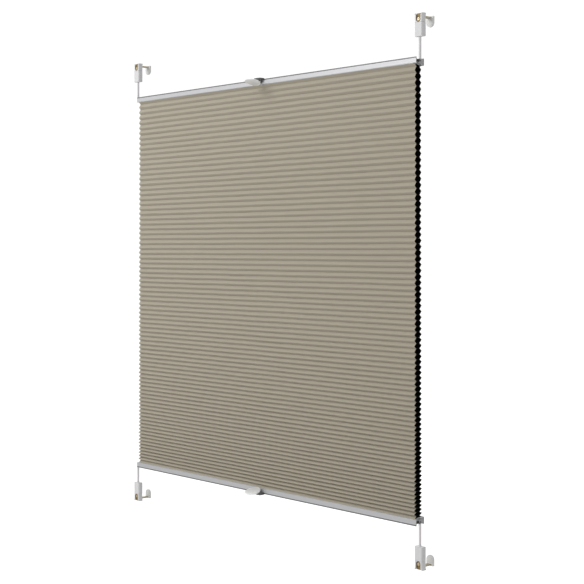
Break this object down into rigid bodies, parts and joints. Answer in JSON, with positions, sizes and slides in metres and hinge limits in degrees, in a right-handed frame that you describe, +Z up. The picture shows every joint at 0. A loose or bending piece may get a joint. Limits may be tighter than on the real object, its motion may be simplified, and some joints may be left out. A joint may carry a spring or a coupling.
{
  "type": "pleated blind",
  "caption": "Honeycomb pleated blind on two sliding aluminium rails, strung on crossed tension cords between four screw clamps that grip a window sash.",
  "frame": {"origin": "centre of the whole blind's box at rest", "axes": "+X along the rails, to the right as seen from the room; +Z up; -Y towards the room"},
  "size_m": [1.0334, 0.0842, 1.184],
  "materials": {
    "rail_aluminium": "satin",
    "strip_aluminium": "mill",
    "pleated_fabric": "matte",
    "cord_yarn": "matte",
    "guide_plastic": "matte",
    "nose_plastic": "satin",
    "clamp_plastic": "satin",
    "hook_steel": "gloss",
    "screw_brass": "satin",
    "sleeve_plastic": "satin",
    "stop_brass": "satin",
    "clip_plastic": "satin",
    "grip_plastic": "gloss"
  },
  "bodies": {
    "root": {"clamp_body_bottom_left": "clamp_plastic", "clamp_body_bottom_right": "clamp_plastic", "clamp_body_top_left": "clamp_plastic", "clamp_body_top_right": "clamp_plastic", "cord_sleeve_bottom_left": "sleeve_plastic", "cord_sleeve_bottom_right": "sleeve_plastic", "cord_sleeve_top_left": "sleeve_plastic", "cord_sleeve_top_right": "sleeve_plastic", "cord_stop_bottom_left": "stop_brass", "cord_stop_bottom_right": "stop_brass", "cord_stop_top_left": "stop_brass", "cord_stop_top_right": "stop_brass", "honeycomb_fabric": "pleated_fabric", "tension_cord_left": "cord_yarn", "tension_cord_right": "cord_yarn", "tension_shoe_bottom_left": "clamp_plastic", "tension_shoe_bottom_right": "clamp_plastic", "tension_shoe_top_left": "clamp_plastic", "tension_shoe_top_right": "clamp_plastic"},
    "top_rail": {"cord_guide_top_left": "guide_plastic", "cord_guide_top_right": "guide_plastic", "guide_nose_top_left": "nose_plastic", "guide_nose_top_right": "nose_plastic", "top_fabric_strip": "strip_aluminium", "top_grip": "grip_plastic", "top_grip_clip": "clip_plastic", "top_rail": "rail_aluminium"},
    "bottom_rail": {"bottom_fabric_strip": "strip_aluminium", "bottom_grip": "grip_plastic", "bottom_grip_clip": "clip_plastic", "bottom_rail": "rail_aluminium", "cord_guide_bottom_left": "guide_plastic", "cord_guide_bottom_right": "guide_plastic", "guide_nose_bottom_left": "nose_plastic", "guide_nose_bottom_right": "nose_plastic"},
    "screw_top_right": {"clamp_screw_top_right": "screw_brass"},
    "hook_top_right": {"clamp_hook_top_right": "hook_steel"},
    "screw_top_left": {"clamp_screw_top_left": "screw_brass"},
    "hook_top_left": {"clamp_hook_top_left": "hook_steel"},
    "screw_bottom_right": {"clamp_screw_bottom_right": "screw_brass"},
    "hook_bottom_right": {"clamp_hook_bottom_right": "hook_steel"},
    "screw_bottom_left": {"clamp_screw_bottom_left": "screw_brass"},
    "hook_bottom_left": {"clamp_hook_bottom_left": "hook_steel"}
  },
  "joints": [
    {"name": "top_rail_slide", "type": "slide", "parent": "root", "child": "top_rail", "axis": [0, 0, -1], "range_m": [0, 0.42], "deforming": ["honeycomb_fabric", "tension_cord_left", "tension_cord_right"]},
    {"name": "bottom_rail_slide", "type": "slide", "parent": "root", "child": "bottom_rail", "axis": [0, 0, 1], "range_m": [0, 0.42], "deforming": ["honeycomb_fabric", "tension_cord_left", "tension_cord_right"]},
    {"name": "screw_top_right_turn", "type": "hinge", "parent": "root", "child": "screw_top_right", "pos_m": [0.5045, 0.00365, 0.5795], "axis": [0, 1, 0], "range_deg": [0, 2521]},
    {"name": "hook_top_right_slide", "type": "slide", "parent": "root", "child": "hook_top_right", "axis": [0, -1, 0], "range_m": [0, 0.0049]},
    {"name": "screw_top_left_turn", "type": "hinge", "parent": "root", "child": "screw_top_left", "pos_m": [-0.5045, 0.00365, 0.5795], "axis": [0, 1, 0], "range_deg": [0, 2521]},
    {"name": "hook_top_left_slide", "type": "slide", "parent": "root", "child": "hook_top_left", "axis": [0, -1, 0], "range_m": [0, 0.0049]},
    {"name": "screw_bottom_right_turn", "type": "hinge", "parent": "root", "child": "screw_bottom_right", "pos_m": [0.5045, 0.00365, -0.5795], "axis": [0, 1, 0], "range_deg": [0, 2521]},
    {"name": "hook_bottom_right_slide", "type": "slide", "parent": "root", "child": "hook_bottom_right", "axis": [0, -1, 0], "range_m": [0, 0.0049]},
    {"name": "screw_bottom_left_turn", "type": "hinge", "parent": "root", "child": "screw_bottom_left", "pos_m": [-0.5045, 0.00365, -0.5795], "axis": [0, 1, 0], "range_deg": [0, 2521]},
    {"name": "hook_bottom_left_slide", "type": "slide", "parent": "root", "child": "hook_bottom_left", "axis": [0, -1, 0], "range_m": [0, 0.0049]}
  ],
  "couplings": [
    {"joint": "screw_top_right_turn", "follows": "hook_top_right_slide", "rad_per_m": 8976},
    {"joint": "screw_top_left_turn", "follows": "hook_top_left_slide", "rad_per_m": 8976},
    {"joint": "screw_bottom_right_turn", "follows": "hook_bottom_right_slide", "rad_per_m": 8976},
    {"joint": "screw_bottom_left_turn", "follows": "hook_bottom_left_slide", "rad_per_m": 8976}
  ]
}
